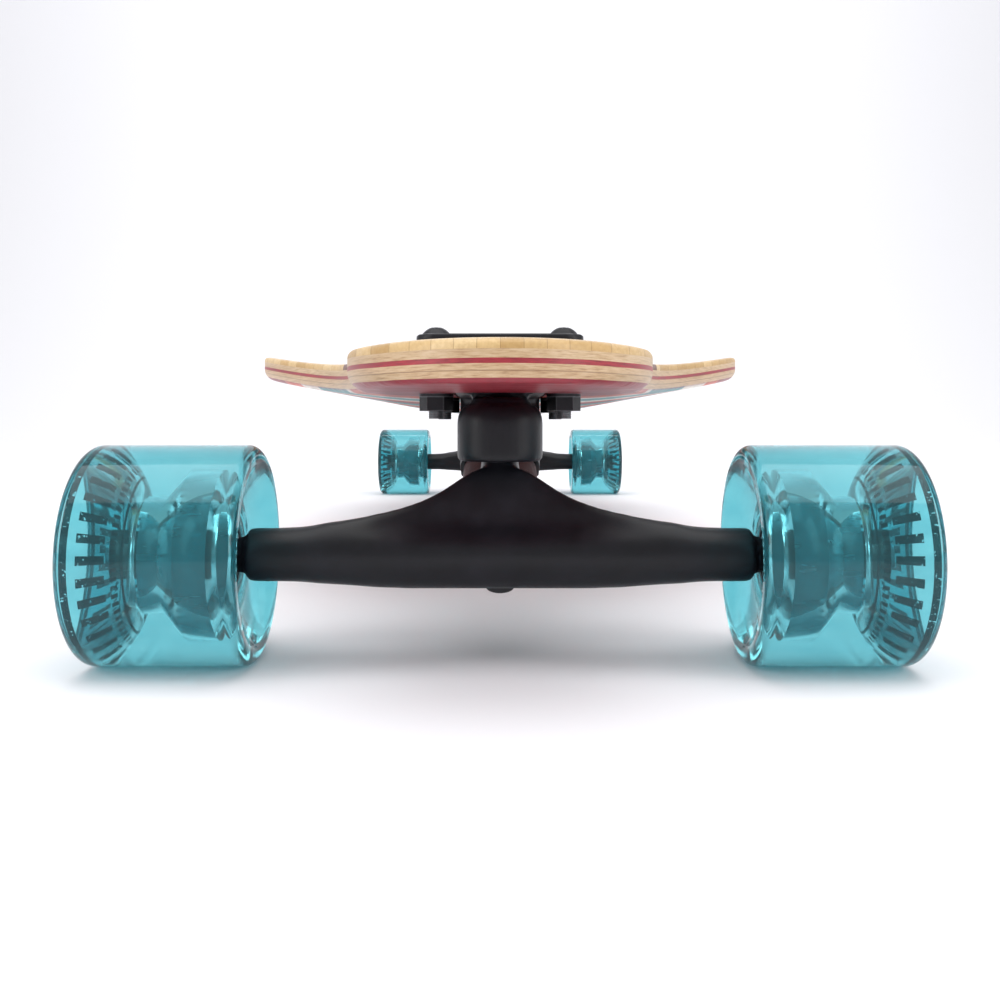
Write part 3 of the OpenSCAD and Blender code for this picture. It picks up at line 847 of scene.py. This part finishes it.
# ---- threads on the bolt tails ----
for end in ENDS:
    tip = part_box(end + "_mount_bolts")[0].z
    for k, (x, y) in enumerate(bolt_places(end)):
        rings = []
        for i in range(3):
            h = tip + (0.35 + 0.75 * i) * MM
            rings += [(2.28 * MM, h), (2.55 * MM, h + 0.28 * MM), (2.28 * MM, h + 0.56 * MM)]
        section = [(2.0 * MM, tip + 0.2 * MM)] + rings + [(2.0 * MM, tip + 2.6 * MM)]
        thread = revolve(f"{end}_bolt_{k + 1}_thread", section, Vector((x, y, 0)),
                         Matrix.Identity(4), "black_hardware", 24, 60)
        add_piece(thread, "deck", "black_hardware")


# ---- materials of the CAD pieces that stay ----
KEPT = {
    "mount_bolts": "black_hardware", "mount_washers": "black_hardware", "mount_nuts": "black_hardware",
    "kingpin": "black_hardware", "kingpin_nut": "black_hardware", "top_cup_washer": "black_hardware",
    "bottom_cup_washer": "black_hardware", "pivot_cup": "pivot_cup", "axle_washers": "steel",
    "axle": "steel", "axle_nut": "black_hardware", "bearing_spacer": "steel",
    "bearing_inner_rings": "steel",
}
for node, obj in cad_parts.items():
    for piece, material in KEPT.items():
        if node.endswith("_" + piece):
            paint(obj, material)


# ---- floor, light and camera ----
def studio_sweep():
    """A white floor that curves up far behind the board, with no visible horizon."""
    near, flat_end, bend, top = -6.0, 3.0, 2.5, 9.0
    section = [(near, 0.0), (flat_end, 0.0)]
    section += [(flat_end + bend * math.sin(math.radians(a)), bend - bend * math.cos(math.radians(a)))
                for a in range(6, 91, 6)]
    section.append((flat_end + bend, top))
    wide = 9.0
    verts = [(x, y, z) for y, z in section for x in (-wide, wide)]
    faces = [(2 * i, 2 * i + 1, 2 * i + 3, 2 * i + 2) for i in range(len(section) - 1)]
    mesh = bpy.data.meshes.new("studio_sweep")
    mesh.from_pydata(verts, [], faces)
    mesh.shade_smooth()
    obj = bpy.data.objects.new("studio_sweep", mesh)
    bpy.context.scene.collection.objects.link(obj)
    s = Shader("studio_paper")
    fibre = s.noise(s.place(), 300.0)
    s.surface(Base_Color=s.mix(s.span(fibre, 0.3, 0.7, 0.0, 0.06), srgb("#F6F6FA"), srgb("#EDEEF2")),
              Roughness=0.8)
    mesh.materials.append(s.material)


def area_light(name, place, aim, size, power):
    light = bpy.data.lights.new(name, "AREA")
    light.shape = "RECTANGLE"
    light.size, light.size_y = size
    light.energy = power
    obj = bpy.data.objects.new(name, light)
    obj.location = place
    obj.rotation_euler = (Vector(aim) - Vector(place)).to_track_quat("-Z", "Y").to_euler()
    bpy.context.scene.collection.objects.link(obj)


studio_sweep()
area_light("key", (0.0, -0.5, 1.7), (0, -0.2, 0), (2.4, 1.6), 27)
area_light("left", (-1.5, -1.0, 0.7), (0, -0.4, 0.06), (0.7, 1.2), 9)
area_light("right", (1.5, -1.0, 0.7), (0, -0.4, 0.06), (0.7, 1.2), 9)
area_light("wall", (0.0, 1.6, 3.4), (0, 5.0, 1.6), (4.0, 1.5), 105)

world = bpy.data.worlds.new("studio")
world.use_nodes = True
world.node_tree.nodes["Background"].inputs["Color"].default_value = srgb("#FBFBFB")
world.node_tree.nodes["Background"].inputs["Strength"].default_value = 0.62
bpy.context.scene.world = world
bpy.context.scene.view_settings.view_transform = "Standard"

EYE_BACK = 345 * MM        # from the lens to the front axle
EYE_HEIGHT = 77 * MM
camera = bpy.data.cameras.new("camera")
camera.sensor_width = 36
camera.lens = 38.84
camera.shift_y = -0.0769
camera.clip_start = 0.01
eye = bpy.data.objects.new("camera", camera)
eye.location = (0, axle_y - EYE_BACK, EYE_HEIGHT)
eye.rotation_euler = (math.pi / 2, 0, 0)
bpy.context.scene.collection.objects.link(eye)
bpy.context.scene.camera = eye
